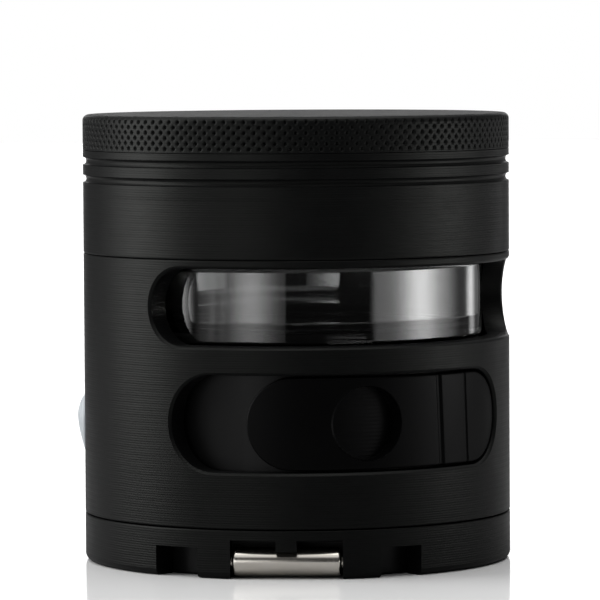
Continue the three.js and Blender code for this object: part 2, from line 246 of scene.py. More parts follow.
def carve(piece, cutters, sharp=crease):
    for cutter in cutters:
        step = piece.modifiers.new("cut", "BOOLEAN")
        step.operation = "DIFFERENCE"
        step.solver = "EXACT"
        step.object = cutter
    settle(piece)
    for cutter in cutters:
        bpy.data.objects.remove(cutter)
    smooth(piece, sharp)
    return piece


def settle(piece):
    # the modifiers' result becomes the piece's own mesh
    graph = bpy.context.evaluated_depsgraph_get()
    graph.update()
    mesh = bpy.data.meshes.new_from_object(piece.evaluated_get(graph))
    piece.modifiers.clear()
    piece.data = mesh


def softenEdges(piece, width, angle=40, segments=2):
    bevel = piece.modifiers.new("edges", "BEVEL")
    bevel.width = width * mm
    bevel.segments = segments
    bevel.limit_method = "ANGLE"
    bevel.angle_limit = math.radians(angle)
    settle(piece)
    smooth(piece)


def fit(piece, body, slotName, finish, *nodes):
    piece.data.materials.clear()
    piece.data.materials.append(finish)
    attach(piece, body)
    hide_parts(*nodes)
    return piece


# Finishes: arithmetic on a Field adds the Math nodes.

def addNode(tree, kind, settings=None, inputs=None, output=0):
    made = tree.nodes.new(kind)
    for name, value in (settings or {}).items():
        setattr(made, name, value)
    for name, value in (inputs or {}).items():
        if isinstance(value, Field):
            tree.links.new(value.socket, made.inputs[name])
        else:
            made.inputs[name].default_value = value
    return Field(tree, made.outputs[output]) if made.outputs else None


class Field:
    # a value that changes over a surface
    def __init__(self, tree, socket):
        self.tree = tree
        self.socket = socket

    def maths(self, operation, *others):
        values = dict(enumerate((self, *others)))
        return addNode(self.tree, "ShaderNodeMath", {"operation": operation}, values)

    def __add__(self, other):
        return self.maths("ADD", other)

    def __sub__(self, other):
        return self.maths("SUBTRACT", other)

    def __rsub__(self, other):
        return (self * -1) + other

    def __mul__(self, other):
        return self.maths("MULTIPLY", other)

    def __truediv__(self, other):
        return self.maths("DIVIDE", other)

    __radd__ = __add__
    __rmul__ = __mul__

    def sine(self):
        return self.maths("SINE")

    def size(self):
        return self.maths("ABSOLUTE")

    def rise(self, low, high):
        # 0 below low, 1 above high, a smooth step between
        return addNode(
            self.tree, "ShaderNodeMapRange", {"interpolation_type": "SMOOTHSTEP", "clamp": True},
            {"Value": self, "From Min": low, "From Max": high}, "Result")

    def bell(self, centre, width):
        # exp(-((x - centre) / width)^2)
        scaled = (self - centre) / width
        return (scaled * scaled * -1).maths("EXPONENT")


class Shading:
    # one material's or world's node tree
    def __init__(self, owner):
        owner.use_nodes = True
        self.tree = owner.node_tree
        self.tree.nodes.clear()

    def node(self, kind, settings=None, inputs=None, output=0):
        return addNode(self.tree, kind, settings, inputs, output)

    def place(self):
        return self.node("ShaderNodeTexCoord", output="Object")

    def axes(self, vector):
        parts = self.node("ShaderNodeSeparateXYZ", inputs={0: vector})
        return [Field(self.tree, output) for output in parts.socket.node.outputs]

    def noise(self, vector, scale, detail=3.0, roughness=0.55):
        return self.node("ShaderNodeTexNoise", inputs={
            "Vector": vector, "Scale": scale, "Detail": detail, "Roughness": roughness})

    def blend(self, part, low, high):
        return self.node("ShaderNodeMix", {"data_type": "RGBA"}, {0: part, 6: low, 7: high}, output=2)

    def bump(self, relief):
        # relief in mm
        return self.node("ShaderNodeBump", inputs={"Height": relief, "Distance": mm, "Strength": 1.0})

    def mixed(self, part, first, second):
        return self.node("ShaderNodeMixShader", inputs={0: part, 1: first, 2: second})

    def show(self, shader, kind="ShaderNodeOutputMaterial"):
        self.node(kind, inputs={0: shader})

    def finishWith(self, **sockets):
        self.show(self.node("ShaderNodeBsdfPrincipled", inputs={
            socketNames[name]: value for name, value in sockets.items()}))


socketNames = {
    "colour": "Base Color", "roughness": "Roughness", "metallic": "Metallic", "normal": "Normal",
    "ior": "IOR", "through": "Transmission Weight", "tint": "Specular Tint",
    "scatter": "Subsurface Weight", "scatterRadius": "Subsurface Radius",
    "scatterScale": "Subsurface Scale",
}


def newMaterial(name):
    material = bpy.data.materials.new(name)
    return material, Shading(material)


# In a finish, patches, grain, wander and the like are noise scales, and depths are in mm.

shellFinish = {
    "dark": (0.0022, 0.0023, 0.0025, 1),
    "light": (0.0042, 0.0043, 0.0045, 1),
    "tint": (0.97, 1.0, 0.93, 1),
    "ior": 1.19,
    "roughness": 0.4,
    "patchRougher": 0.12,
    "lineRougher": 0.02,
    "levelRougher": 0.12,    # added where a face looks up or down
    "levelFrom": (0.85, 0.95),
    "linePitch": 0.34,       # mm between turning lines
    "lineDepth": 0.009,
    "second": (0.37, 0.6),   # a second set of lines: how close and how deep, against the first
    "wander": 90,
    "wanderBy": 6.0,         # radians
    "patches": 260,
    "uneven": 420,
    "grain": 9000,
    "grainDepth": 0.01,
}


def anodisedShell():
    # turned and blasted black: lines that wander a little, over a fine grain
    # they follow height on a wall and sqrt(x^2 + y^2) on a face that looks up or down
    q = shellFinish
    material, shade = newMaterial("anodisedShell")
    place = shade.place()
    x, y, z = shade.axes(place)
    upright = shade.axes(shade.node("ShaderNodeTexCoord", output="Normal"))[2]
    level = upright.size().rise(*q["levelFrom"])
    along = z * (1 - level) + (x * x + y * y).maths("SQRT") * level
    wander = shade.noise(place, q["wander"], 2)
    patches = shade.noise(place, q["patches"])
    grain = shade.noise(place, q["grain"], 2)
    phase = along * (turn / (q["linePitch"] * mm)) + wander * q["wanderBy"]
    closer, shallower = q["second"]
    lines = phase.sine() + (phase * closer).sine() * shallower
    relief = lines * shade.noise(place, q["uneven"]) * q["lineDepth"] + grain * q["grainDepth"]
    rougher = (patches - 0.5) * q["patchRougher"] + lines * q["lineRougher"] + level * q["levelRougher"]
    shade.finishWith(
        colour=shade.blend(patches, q["dark"], q["light"]),
        roughness=q["roughness"] + rougher,
        normal=shade.bump(relief),
        ior=q["ior"],
        tint=q["tint"],
    )
    return material


def patchedFinish(name, q, **constants):
    # colour and roughness drift over patches: roughness = least + patch * drift, over a fine grain
    material, shade = newMaterial(name)
    place = shade.place()
    patches = shade.noise(place, q["patches"])
    shade.finishWith(
        colour=shade.blend(patches, q["dark"], q["light"]),
        roughness=q["roughness"] + patches * q["drift"],
        normal=shade.bump(shade.noise(place, q["grain"], 2) * q["grainDepth"]),
        **constants,
    )
    return material


innerFinish = {
    "dark": (0.0028, 0.0029, 0.003, 1), "light": (0.0042, 0.0043, 0.0044, 1),
    "roughness": 0.31, "drift": 0.1, "patches": 180, "grain": 12000, "grainDepth": 0.004,
}
sliderFinish = {
    "dark": (0.0008, 0.0008, 0.0009, 1), "light": (0.0018, 0.0018, 0.0019, 1),
    "roughness": 0.28, "drift": 0.16, "patches": 90, "grain": 10000, "grainDepth": 0.003,
}
siliconeFinish = {
    "dark": (0.38, 0.41, 0.43, 1), "light": (0.45, 0.48, 0.50, 1),
    "roughness": 0.45, "drift": 0.1, "patches": 220, "grain": 5000, "grainDepth": 0.004,
}
nylonFinish = {
    "dark": (0.60, 0.59, 0.54, 1), "light": (0.70, 0.69, 0.64, 1),
    "roughness": 0.5, "drift": 0.1, "patches": 400, "grain": 8000, "grainDepth": 0.004,
}
rubberFinish = {
    "dark": (0.012, 0.012, 0.012, 1), "light": (0.022, 0.022, 0.023, 1),
    "roughness": 0.62, "drift": 0.15, "patches": 700, "grain": 7000, "grainDepth": 0.01,
}
nickelFinish = {
    "dark": (0.58, 0.57, 0.55, 1), "light": (0.7, 0.69, 0.68, 1),
    "roughness": 0.24, "drift": 0.12, "patches": 900, "grain": 6000, "grainDepth": 0.003,
}
screwFinish = {
    "dark": (0.06, 0.06, 0.065, 1), "light": (0.14, 0.14, 0.145, 1),
    "roughness": 0.32, "drift": 0.15, "patches": 1500, "grain": 1500, "grainDepth": 0.004,
}

glassFinish = {
    "tint": (0.985, 0.992, 0.99, 1),
    "ior": 1.5,
    "roughness": 0.015,
    "smudge": 0.03,
    "smudgeFrom": (0.5, 0.8),
    "smudges": 120,
    "waves": 60,
    "waveDepth": 0.03,
}


def jarGlass():
    # clear glass, a little unevenly polished
    q = glassFinish
    material, shade = newMaterial("jarGlass")
    place = shade.place()
    smudges = shade.noise(place, q["smudges"], 4).rise(*q["smudgeFrom"])
    shade.finishWith(
        colour=q["tint"],
        roughness=q["roughness"] + smudges * q["smudge"],
        normal=shade.bump(shade.noise(place, q["waves"], 2) * q["waveDepth"]),
        ior=q["ior"],
        through=1.0,
    )
    return material


steelFinish = {
    "warm": (0.74, 0.69, 0.61, 1),
    "cool": (0.82, 0.79, 0.74, 1),
    "roughness": 0.2,
    "scratchRougher": 0.08,
    "scratches": (4500.0, 300.0, 300.0),     # close along the roller, long round it
    "scratchDepth": 0.0006,
    "patches": 300,
}


def satinSteel():
    # turned steel: fine scratches round the roller and slight colour drift
    q = steelFinish
    material, shade = newMaterial("satinSteel")
    place = shade.place()
    stretched = shade.node("ShaderNodeMapping", inputs={"Vector": place, "Scale": Vector(q["scratches"])})
    scratches = shade.noise(stretched, 1.0, roughness=0.5)
    shade.finishWith(
        colour=shade.blend(shade.noise(place, q["patches"], 2), q["warm"], q["cool"]),
        roughness=q["roughness"] + (scratches - 0.5) * q["scratchRougher"],
        normal=shade.bump(scratches * q["scratchDepth"]),
        metallic=1.0,
    )
    return material


shellBlack = anodisedShell()
innerBlack = patchedFinish("anodisedInner", innerFinish, ior=1.24)
sliderBlack = patchedFinish("anodisedSlider", sliderFinish, ior=1.13)
clearGlass = jarGlass()
steel = satinSteel()
nickel = patchedFinish("nickelPlate", nickelFinish, metallic=1.0)
blackScrew = patchedFinish("screwSteel", screwFinish, metallic=1.0)
silicone = patchedFinish(
    "milkySilicone", siliconeFinish, scatter=0.5, scatterRadius=(1.0, 1.0, 1.0), scatterScale=0.0015)
nylon = patchedFinish("paleNylon", nylonFinish)
rubber = patchedFinish("blackRubber", rubberFinish)
print("finishes made")


# Lid

lid = {
    "plate": 2.6,
    "skirtInner": 29.0,
    "cornerRadius": 0.9,
    "bandLow": 60.62,
    "bandGap": 0.05,
    "grooves": (56.4, 59.0),
    "grooveWidth": 1.15,
    "grooveDepth": 0.5,
    "teeth": ((8.0, 6), (17.0, 12)),
    "teethTip": 53.4,
    "bossRadius": 4.2,
    "bossBottom": 58.6,
    "magnetPocket": 2.6,
}

knurl = {
    "count": 134,            # pits round the lid in each row
    "rows": 6,
    "top": 65.02,            # height of the topmost row
    "pitch": 0.765,          # mm from row to row
    "halfWidth": 0.3,
    "halfHeight": 0.35,
    "depth": 0.34,
    "flat": 0.8,             # share of the full pyramid that is left when its point is cut off
    "columnsPerPit": 11,
    "rowsOfPoints": 44,
}


def knurlPits(a, z):
    # two interleaved lattices of pits; a pit is a blunt pyramid, deepest in its middle,
    # whose depth falls with (|u / w|^1.25 + |v / h|^1.25)^0.8
    u = a * knurl["count"] / turn
    v = (knurl["top"] - z) / knurl["pitch"]
    pitchAround = turn * bodyRadius / knurl["count"]
    deepest = np.zeros(np.broadcast(u, v).shape)
    for parity in (0, 1):
        row = np.clip(parity + 2 * np.round((v - parity) / 2), parity, knurl["rows"] - 2 + parity)
        across = np.abs((u + 0.5 * parity + 0.5) % 1 - 0.5) * pitchAround / knurl["halfWidth"]
        down = np.abs(v - row) * knurl["pitch"] / knurl["halfHeight"]
        inside = np.clip(1.12 - (across ** 1.25 + down ** 1.25) ** 0.8, 0, knurl["flat"])
        deepest = np.maximum(deepest, inside)
    return deepest * knurl["depth"] / knurl["flat"]


def lidCrown():
    # top plate, corner and knurled band, pressed inwards along the radius where a pit lies
    r, c = bodyRadius, lid["cornerRadius"]
    under = lidTop - lid["plate"]
    low = lid["bandLow"]
    band = np.linspace(low, lidTop - c, knurl["rowsOfPoints"])
    t = np.linspace(0, math.pi / 2, 10)[1:]
    corner = np.stack([r - c + c * np.cos(t), lidTop - c + c * np.sin(t)], axis=-1)
    profile = np.concatenate([
        [[0, under], [lid["skirtInner"], under], [lid["skirtInner"], low], [r - 0.08, low]],
        np.stack([r + 0 * band, band + 0.03 * (band == low)], axis=-1),
        corner,
        [[r - 4, lidTop], [0, lidTop]],
    ])
    columns = knurl["count"] * knurl["columnsPerPit"]
    a = np.arange(columns) * turn / columns
    radius, z = profile[:, :1], profile[:, 1:]
    outer = (radius > r - c - 0.01) & (z > low + 0.01)
    radius = radius - knurlPits(a[None], z) * outer
    points = np.stack([radius * np.sin(a), -radius * np.cos(a), z + 0 * a], axis=-1)
    return surface("lidCrown", points, sharp=50)


def grooveArc(height):
    # a shallow round channel: r = R - depth * sqrt(1 - (2q)^2), q from -0.5 to 0.5
    q = np.sin(np.linspace(-math.pi / 2, math.pi / 2, 13)) / 2
    r = bodyRadius - lid["grooveDepth"] * np.sqrt(np.clip(1 - 4 * q * q, 0, 1))
    return np.stack([r, height + lid["grooveWidth"] * q], axis=-1)


def lidSkirt():
    # the plain wall below the knurling, with its two grooves
    top = lid["bandLow"] - lid["bandGap"]
    foot = rounded([
        (lid["skirtInner"], top, 0), (lid["skirtInner"], lidBottom, 0.2),
        (bodyRadius, lidBottom, 0.3), (bodyRadius, top - 5.5, 0)])
    head = np.array([[bodyRadius, top - 0.03], [bodyRadius - 0.05, top]])
    profile = np.concatenate([foot[:-1], *[grooveArc(height) for height in lid["grooves"]], head])
    return surface("lidSkirt", revolve(profile, 480), closeRows=True)


tooth = {
    "halfWidths": (1.9, 1.7),
    "tip": 0.86,             # how much of its width is left at the free end
    "taper": 0.12,           # how much of its height draws in
    "edge": 0.12,
    "sunk": 0.3,             # how far a tooth or post stands inside the plate it grows from
}


def diamondTeeth(name, rings, low, high, tipUp):
    # four-cornered posts; x = across cos a + out sin a, y = across sin a - out cos a
    wide, deep = tooth["halfWidths"]
    corners = np.array([[wide, 0], [0, deep], [-wide, 0], [0, -deep]])
    shrink = np.array([0, 1, 1, tooth["tip"], 0])
    level = np.array([0, 0, 1 - tooth["taper"], 1, 1])
    if not tipUp:
        shrink, level = shrink[::-1], 1 - level[::-1]
    azimuths = np.concatenate([(np.arange(n) + 0.5) * turn / n for r, n in rings])[:, None, None]
    radii = np.concatenate([np.full(n, float(r)) for r, n in rings])[:, None, None]
    across = corners[:, 0] * shrink[:, None]
    out = radii - corners[:, 1] * shrink[:, None]
    x = across * np.cos(azimuths) + out * np.sin(azimuths)
    y = across * np.sin(azimuths) - out * np.cos(azimuths)
    z = np.broadcast_to((low + level * (high - low))[:, None], x.shape)
    piece = manySurfaces(name, np.stack([x, y, z], axis=-1))
    softenEdges(piece, tooth["edge"])
    return piece


magnetDeep = 3.0             # mm, depth of the pockets at the pivot
postColumns = 96
lidRoot = lidTop - lid["plate"] + tooth["sunk"]


def lidBoss():
    # a short post with a pocket for the magnet in its end
    low, pocket, radius = lid["bossBottom"], lid["magnetPocket"], lid["bossRadius"]
    return turned("lidBoss", [
        (0, low + magnetDeep, 0), (pocket, low + magnetDeep, 0), (pocket, low, 0.2), (radius, low, 0.4),
        (radius, lidRoot, 0), (0, lidRoot, 0)], columns=postColumns)


lidPieces = [
    lidCrown(), lidSkirt(),
    diamondTeeth("lidTeeth", lid["teeth"], lid["teethTip"], lidRoot, False), lidBoss()]
for piece in lidPieces:
    fit(piece, "lid", "anodised_shell", shellBlack, "lid_cap")
print("lid made")


# Grinding chamber

chamber = {
    "bottom": 45.5,
    "top": 54.4,
    "floorTop": 51.0,
    "floorUnder": 47.6,
    "spigotOuter": 27.9,
    "spigotInner": 25.6,
    "locatorOuter": 28.0,
    "locatorInner": 25.0,
    "topChamfer": 0.35,
    "teeth": ((12.5, 8), (21.5, 14)),
    "holes": ((8.0, 8), (12.5, 8), (17.0, 18)),
    "holeRadius": 1.6,
    "holeChamfer": 0.25,
    "postRadius": 4.2,
    "postTop": 57.9,
    "postSunk": 0.2,
}

glide = {"inner": 28.0, "outer": 28.85, "low": 54.5, "high": 57.5, "edge": 0.2}


def holeCutters():
    # one rod for each drop hole, opening at 45 degrees through the chamber's floor
    c, spare = chamber, 1.0
    a = np.concatenate([np.arange(count) * turn / count for radius, count in c["holes"]])
    out = np.concatenate([np.full(count, radius) for radius, count in c["holes"]])
    spots = np.stack([out * np.sin(a), -out * np.cos(a), 0 * a], axis=-1)
    low, high, r = c["floorUnder"] - spare, c["floorTop"] + spare, c["holeRadius"]
    rod = revolve(np.array([
        [0, low], [r, low], [r, c["floorTop"] - c["holeChamfer"]],
        [r + c["holeChamfer"] + spare, high], [0, high]]), 28)
    return manySurfaces("holeCutters", rod[None] + spots[:, None, None])


def chamberCup():
    # from the floor's underside out to the locating ring, up the wall and down inside
    c, r = chamber, bodyRadius
    cup = turned("chamberCup", [
        (0, c["floorUnder"], 0), (c["locatorInner"], c["floorUnder"], 0.4),
        (c["locatorInner"], chamberLow, 0.15), (c["locatorOuter"], chamberLow, 0.15),
        (c["locatorOuter"], c["bottom"], 0), (r, c["bottom"], 0.16),
        (r, c["top"] - c["topChamfer"], 0.05), (r - c["topChamfer"], c["top"], 0.05),
        (c["spigotOuter"], c["top"], 0.2), (c["spigotOuter"], chamberSpigotTop, 0.35),
        (c["spigotInner"], chamberSpigotTop, 0.3), (c["spigotInner"], c["floorTop"], 0.8),
        (0, c["floorTop"], 0)])
    return carve(cup, [holeCutters()])


def chamberPost():
    # the pivot, with a pocket for its magnet
    c, pocket = chamber, lid["magnetPocket"]
    low, high = c["floorTop"] - c["postSunk"], c["postTop"]
    return turned("chamberPost", [
        (0, low, 0), (c["postRadius"], low, 0), (c["postRadius"], high, 0.4), (pocket, high, 0.2),
        (pocket, high - magnetDeep, 0), (0, high - magnetDeep, 0)], columns=postColumns)


def tube(name, inner, outer, low, high, edge):
    # a plain pipe with rounded edges
    return turned(name, [
        (inner, low, edge), (outer, low, edge), (outer, high, edge), (inner, high, edge)], closed=True)


chamberRoot = chamber["floorTop"] - tooth["sunk"]
chamberPieces = [
    chamberCup(), diamondTeeth("chamberTeeth", chamber["teeth"], chamberRoot, chamberSpigotTop, True),
    chamberPost()]
for piece in chamberPieces:
    fit(piece, "chamber", "anodised_shell", shellBlack, "grind_chamber")
glideRing = tube("glideRing", glide["inner"], glide["outer"], glide["low"], glide["high"], glide["edge"])
fit(glideRing, "glide", "nylon", nylon, "glide_ring")
print("chamber made")


# Housing and what it holds

housing = {
    "bore": 28.2,
    "shoulder": (12.4, 13.2, 26.5),      # from height, to height, inner radius
    "upperWindow": {"from": -42.0, "to": 102.0, "middle": 38.65, "halfHeight": 5.55},
    "lowerWindow": {"from": -35.3, "to": 67.0, "middle": 22.15, "halfHeight": 6.95},
    "windowChamfer": 0.38,
    "edge": 0.16,
    "innerEdge": 0.2,
    "plugHole": 4.7,
    "plugAzimuth": -93.0,
    "plugHeight": 19.8,
}
past = 2.0               # mm, how far a cutter reaches beyond what it cuts
stemStart = 23.0         # mm from the axis, inside the liner's wall


def plugCutter(name, flare=0.0):
    h = housing
    return roundCutter(
        name, h["plugHole"], stemStart, bodyRadius + past, h["plugAzimuth"], h["plugHeight"], flare)


def windowLayers():
    # straight through the wall, then opening at the outside in two slopes
    r, c = bodyRadius, housing["windowChamfer"]
    return [(housing["bore"] - 1.5, 0), (r - c, 0), (r - 0.55 * c, 0.25 * c), (r, c), (r + 1, c + 1)]


def housingShell():
    # a tube with an inner shoulder, cut through for the windows and the plug
    h, r, e = housing, bodyRadius, housing["innerEdge"]
    low, high, inner = h["shoulder"]
    shell = turned("housingShell", [
        (h["bore"], housingBottom, e), (r, housingBottom, h["edge"]), (r, housingTop, h["edge"]),
        (h["bore"], housingTop, e), (h["bore"], high, 0), (inner, high, e),
        (inner, low, e), (h["bore"], low, 0)], closed=True)
    return carve(shell, [
        slotCutter("upperCut", h["upperWindow"], windowLayers()),
        slotCutter("lowerCut", h["lowerWindow"], windowLayers()),
        plugCutter("plugCut", 0.2)])


liner = {
    "inner": 25.6,
    "outer": 27.1,
    "edge": 0.2,
    "port": {"from": 48.5, "to": 65.0, "middle": 22.15, "halfHeight": 4.4},
}


def storageLiner():
    # a sleeve with the pour port and the plug's hole
    inner, outer = liner["inner"], liner["outer"]
    sleeve = tube("storageLiner", inner, outer, linerBottom, linerTop, liner["edge"])
    return carve(sleeve, [
        slotCutter("portCut", liner["port"], [(inner - 1, 0), (outer + 1, 0)]), plugCutter("stemCut")])


def finishBore(piece):
    # faces inside the tube take the smoother finish
    centres = np.empty(len(piece.data.polygons) * 3, np.float32)
    piece.data.polygons.foreach_get("center", centres)
    centres = centres.reshape(-1, 3) / mm
    inside = np.hypot(centres[:, 0], centres[:, 1]) < housing["bore"] + 0.1
    piece.data.materials.append(innerBlack)
    piece.data.polygons.foreach_set("material_index", inside.astype(np.int32))


deck = {"radius": 28.0, "edge": 0.2}
mat = {"radius": 24.0, "edge": 0.1}


def disc(name, q, low, high):
    # a flat round plate with rounded edges
    radius, edge = q["radius"], q["edge"]
    return turned(name, [(0, low, 0), (radius, low, edge), (radius, high, edge), (0, high, 0)])


finishBore(fit(housingShell(), "housing", "anodised_shell", shellBlack, "housing_shell"))
fit(storageLiner(), "housing", "anodised_inner", innerBlack, "storage_liner")
fit(disc("bayDeck", deck, deckBottom, deckTop), "housing", "anodised_inner", innerBlack, "bay_deck")
fit(disc("jarMat", mat, matBottom, matTop), "housing", "black_rubber", rubber, "jar_mat")
print("housing made")


# Glass jar


jar = {
    "radius": 27.4,
    "wall": 1.4,
    "floor": 1.9,
    "heel": 0.8,
    "innerHeel": 1.6,
    "rim": 0.5,
    "kick": 0.35,            # how far the underside's middle is raised
    "kickFrom": (7.0, 5.6),  # mm inside the wall's outer face, over which it's raised
}


def glassJar():
    # rounded inside and out, on a foot ring
    r, inner = jar["radius"], jar["radius"] - jar["wall"]
    floor, foot = jarBottom + jar["floor"], jarBottom + jar["kick"]
    up, down = jar["kickFrom"]
    return turned("glassJar", [
        (0, foot, 0), (r - up, foot, 1.5), (r - down, jarBottom, 1.0), (r, jarBottom, jar["heel"]),
        (r, jarTop, jar["rim"]), (inner, jarTop, jar["rim"]), (inner, floor, jar["innerHeel"]),
        (0, floor, 0)], columns=240, sharp=60)


fit(glassJar(), "jar", "clear_glass", clearGlass, "glass_jar")
print("jar made")


# Pour slider: a pad in the lower window with a thumb hollow, on a flange behind the wall

slider = {
    "outline": {"from": -13.5, "to": 66.5, "middle": 22.15, "halfHeight": 6.6},
    "face": 31.1,
    "back": 27.8,
    "edge": 0.3,
    "thumbAzimuth": 18.8,
    "thumbHeight": 22.1,
    "thumbRadius": 5.4,
    "thumbDeep": 2.3,
    "thumbShallow": 0.25,
    "thumbWall": 0.22,
    "ridge": 0.02,           # mm, height of the turned ridges in the hollow
    "ridgePitch": 0.55,
    "lines": ((41.4, 0.42, 0.28), (51.6, 0.24, 0.2)),   # azimuth, half width, depth
    "lineLean": 0.05,
    "flangeInner": 27.4,
    "flangeOuter": 28.0,
    "flangeAbove": 1.65,     # mm past the pad above and below it
    "flangeBeside": 2.5,     # degrees past its ends
}


def thumbHollow(s, z):
    # a round pocket whose floor falls away to the right, with a steep wall
    q = slider
    centre = math.radians(q["thumbAzimuth"]) * bodyRadius
    across, up = s - centre, z - q["thumbHeight"]
    distance = q["thumbRadius"] - np.hypot(across, up)
    wall = np.clip(distance / q["thumbWall"], 0, 1)
    wall = wall * wall * (3 - 2 * wall)
    part = np.clip(0.5 + 0.5 * across / q["thumbRadius"], 0, 1)
    floor = q["thumbShallow"] + (q["thumbDeep"] - q["thumbShallow"]) * part
    ridges = q["ridge"] * np.sin(turn * up / q["ridgePitch"])
    return wall * (floor + ridges)


def sliderLines(s, z):
    # two narrow channels across the pad, leaning outwards towards their feet
    depth = 0 * s * z
    for azimuth, half, deep in slider["lines"]:
        middle = math.radians(azimuth) * bodyRadius + slider["lineLean"] * (slider["thumbHeight"] - z)
        depth = depth + deep * np.exp(-np.abs((s - middle) / half) ** 4)
    return depth


def edgeDrop(s, z, outline, edge):
    # a rounded edge: how far the face falls at distance d < e from the outline
    h = outline["halfHeight"]
    first = math.radians(outline["from"]) * bodyRadius + h
    last = math.radians(outline["to"]) * bodyRadius - h
    d = h - np.hypot(s - np.clip(s, first, last), z - outline["middle"])
    return edge - np.sqrt(np.clip(edge ** 2 - np.clip(edge - d, 0, edge) ** 2, 0, None))


def sliderPad():
    # radius = face - edge drop - hollow - lines, over arc length s and height z; the back is plain
    outline = slider["outline"]
    along, half = slotOutline(outline, endSteps=40, spacing=0.1)
    v = np.sin(np.linspace(-math.pi / 2, math.pi / 2, 121))
    s = along[:, None] + 0 * v
    z = outline["middle"] + half[:, None] * v
    face = slider["face"] - edgeDrop(s, z, outline, slider["edge"]) - thumbHollow(s, z) - sliderLines(s, z)
    r = np.concatenate([face, np.full((len(along), 2), slider["back"])], axis=1)
    z = np.concatenate([z, z[:, -1:], z[:, :1]], axis=1)
    a = along[:, None] / bodyRadius
    return surface("sliderPad", np.stack([r * np.sin(a), -r * np.cos(a), z], axis=-1), sharp=50)


def sliderFlange():
    # a thin curved sheet that keeps the pad inside the wall
    q, outline = slider, slider["outline"]
    half = outline["halfHeight"] + q["flangeAbove"]
    return arcBlock(
        "sliderFlange", outline["from"] - q["flangeBeside"], outline["to"] + q["flangeBeside"],
        outline["middle"] - half, outline["middle"] + half, q["flangeInner"], q["flangeOuter"], 90)


fit(sliderPad(), "slider", "anodised_inner", sliderBlack, "pour_slider")
fit(sliderFlange(), "slider", "anodised_inner", innerBlack, "pour_slider")
print("slider made")


# Silicone side plug

plug = {
    "radius": 4.58,
    "inner": 25.2,
    "rim": 31.25,
    "proud": 1.5,
    "fullness": 0.55,
    "edge": 0.2,
    "lowShare": 0.3,         # how much of the dome is left at its lowest edge
    "fullFrom": 0.35,        # of the radius, above which the dome is whole
    "columns": 96,
}


def sidePlug():
    # dome: out = rim + proud (1 - q^2)^fullness, leaning so that it stands out most near its top
    r, inner, rim, edge = plug["radius"], plug["inner"], plug["rim"], plug["edge"]
    q = np.sin(np.linspace(math.pi / 2, 0, 26))
    dome = rim + plug["proud"] * (1 - q * q) ** plug["fullness"]
    stem = np.array([[0, inner], [r - edge, inner], [r, inner + edge]])
    profile = np.concatenate([stem, np.stack([r * q, dome], axis=-1)])
    a = np.arange(plug["columns"]) * turn / plug["columns"]
    across, up = profile[:, :1] * np.cos(a), profile[:, :1] * np.sin(a)
    lean = np.interp(up, [-r, plug["fullFrom"] * r], [plug["lowShare"], 1.0])
    out = profile[:, 1:] + 0 * a
    out = np.minimum(out, rim) + np.maximum(out - rim, 0) * lean
    points = np.stack([across, up, out], axis=-1)
    return surface("sidePlug", facing(points, housing["plugAzimuth"], housing["plugHeight"]), sharp=50)


fit(sidePlug(), "plug", "milky_silicone", silicone, "side_plug")
print("plug made")


# Base

base = {
    "top": 7.0,
    "wallInner": 28.0,
    "corner": 1.0,
    "edge": 0.16,
    "webLow": 5.2,
    "webInner": 24.6,
    "threadOuter": 27.8,
    "threadInner": 25.2,
    "sealLow": 10.2,
    "sealHigh": 11.4,
    "sealDepth": 0.9,
    "plateRadius": 27.7,
    "plateThick": 2.0,
    "plateRim": 5.0,
    "sideNotches": ((-40.3, -27.2), (22.2, 34.1)),
    "sideNotchTop": 4.4,
    "screwAzimuths": (60, 180, 300),
    "screwCircle": 26.15,
    "screwHead": 1.5,
    "screwHeadTop": 1.0,
    "screwShank": 0.8,
    "screwTip": 6.2,
    "screwSunk": 0.1,        # how far the head's face lies above the underside
    "sinkGap": 0.12,
    "sinkWiden": 1.2,
}

socket = {"radius": 0.68, "lobe": 0.13, "lobes": 6, "rim": 0.85, "deep": 0.75}

roller = {
    "azimuth": -3.1,
    "radius": 2.1,
    "length": 15.6,
    "reach": 28.3,
    "height": 2.4,
    "bore": 1.0,
    "end": 0.55,
    "notchHalf": 8.05,
    "notchTop": 5.6,
    "notchBack": 26.0,
    "tabHalf": 1.5,
    "tabBottom": 4.0,
    "tabBack": 30.0,
}


def baseRing():
    # a foot with an upright spigot, grooved for the seal; then the roller's notch and its tab,
    # whose cutters overlap by a step, and the two side notches
    b, q, r = base, roller, bodyRadius
    spigot, groove, bore = b["threadOuter"], b["threadOuter"] - b["sealDepth"], b["threadInner"]
    ring = turned("baseRing", [
        (b["wallInner"], 0, 0.2), (r, 0, b["corner"]), (r, b["top"], b["edge"]),
        (spigot, b["top"], 0.1), (spigot, b["sealLow"], 0), (groove, b["sealLow"], 0),
        (groove, b["sealHigh"], 0), (spigot, b["sealHigh"], 0), (spigot, threadTop, 0.2),
        (bore, threadTop, 0.2), (bore, b["top"], 0), (b["webInner"], b["top"], 0.2),
        (b["webInner"], b["webLow"], 0.2), (b["wallInner"], b["webLow"], 0)], closed=True)
    far, step, az, under = r + past, 0.01, q["azimuth"], -1
    half, tab, back = q["notchHalf"], q["tabHalf"], q["notchBack"]
    low, top = q["tabBottom"] - step, q["notchTop"]
    cuts = [
        boxCutter("notchFoot", (-half, half), back, far, under, q["tabBottom"], az),
        boxCutter("notchLeft", (-half, -tab), back, far, low, top, az),
        boxCutter("notchRight", (tab, half), back, far, low, top, az),
        boxCutter("notchBehind", (-tab - step, tab + step), back, q["tabBack"], low, top, az)]
    inside = b["wallInner"] - 0.5
    for k, (first, last) in enumerate(b["sideNotches"]):
        cuts.append(arcBlock(f"sideNotch{k}", first, last, under, b["sideNotchTop"], inside, far))
    return carve(ring, cuts)


def screwSpots():
    a = np.radians(base["screwAzimuths"])
    return base["screwCircle"] * np.stack([np.sin(a), -np.cos(a), 0 * a], axis=-1)


